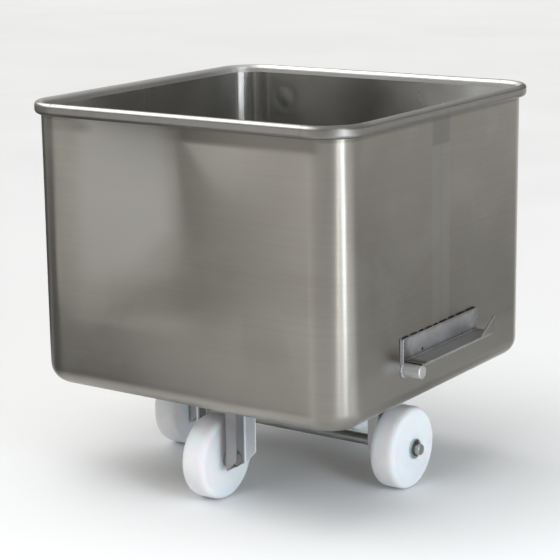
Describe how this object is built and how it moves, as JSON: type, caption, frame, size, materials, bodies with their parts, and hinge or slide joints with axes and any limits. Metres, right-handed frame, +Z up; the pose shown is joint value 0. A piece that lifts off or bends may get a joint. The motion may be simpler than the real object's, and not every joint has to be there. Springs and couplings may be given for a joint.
{
  "type": "tub trolley",
  "caption": "Square stainless tub with a tube rim and side lifting lugs, carried on white nylon wheels in a diamond layout, for moving dough or meat.",
  "frame": {"origin": "on the floor, under the middle of the tub", "axes": "+Z up, X along the main axle through both lifting lugs, -Y towards the front"},
  "size_m": [0.73, 0.681, 0.7],
  "materials": {
    "tub_steel": "brushed",
    "rim_steel": "polished",
    "lug_steel": "mill",
    "leg_steel": "mill",
    "axle_steel": "turned",
    "ring_steel": "spring steel",
    "nylon": "moulded satin",
    "cage_plastic": "moulded",
    "roller_steel": "ground"
  },
  "bodies": {
    "tub": {"front_shell": "tub_steel", "rear_shell": "tub_steel", "floor_pan": "tub_steel", "rim_front": "rim_steel", "rim_rear": "rim_steel", "rim_left_front": "rim_steel", "rim_left_rear": "rim_steel", "rim_right_front": "rim_steel", "rim_right_rear": "rim_steel", "rim_corner_front_left": "rim_steel", "rim_corner_front_right": "rim_steel", "rim_corner_rear_left": "rim_steel", "rim_corner_rear_right": "rim_steel", "lug_left": "lug_steel", "lug_right": "lug_steel", "lug_pin_left": "lug_steel", "lug_pin_right": "lug_steel", "pad_left": "leg_steel", "pad_right": "leg_steel", "pad_front": "leg_steel", "pad_rear": "leg_steel", "front_leg_left": "leg_steel", "front_leg_right": "leg_steel", "rear_leg_left": "leg_steel", "rear_leg_right": "leg_steel", "bracket_left": "leg_steel", "bracket_right": "leg_steel", "main_axle": "axle_steel", "front_axle": "axle_steel", "rear_axle": "axle_steel", "front_spacers": "axle_steel", "rear_spacers": "axle_steel", "axle_washers": "axle_steel", "retaining_rings": "ring_steel"},
    "left_wheel": {"wheel_left": "nylon", "roller_cage_left": "cage_plastic", "rollers_left": "roller_steel"},
    "right_wheel": {"wheel_right": "nylon", "roller_cage_right": "cage_plastic", "rollers_right": "roller_steel"},
    "front_wheel": {"wheel_front": "nylon", "roller_cage_front": "cage_plastic", "rollers_front": "roller_steel"},
    "rear_wheel": {"wheel_rear": "nylon", "roller_cage_rear": "cage_plastic", "rollers_rear": "roller_steel"}
  },
  "joints": [
    {"name": "left_wheel_spin", "type": "hinge", "parent": "tub", "child": "left_wheel", "pos_m": [-0.243, 0, 0.075], "axis": [1, 0, 0], "continuous": true},
    {"name": "right_wheel_spin", "type": "hinge", "parent": "tub", "child": "right_wheel", "pos_m": [0.243, 0, 0.075], "axis": [1, 0, 0], "continuous": true},
    {"name": "front_wheel_spin", "type": "hinge", "parent": "tub", "child": "front_wheel", "pos_m": [0, -0.23, 0.08], "axis": [1, 0, 0], "continuous": true},
    {"name": "rear_wheel_spin", "type": "hinge", "parent": "tub", "child": "rear_wheel", "pos_m": [0, 0.23, 0.08], "axis": [1, 0, 0], "continuous": true}
  ]
}
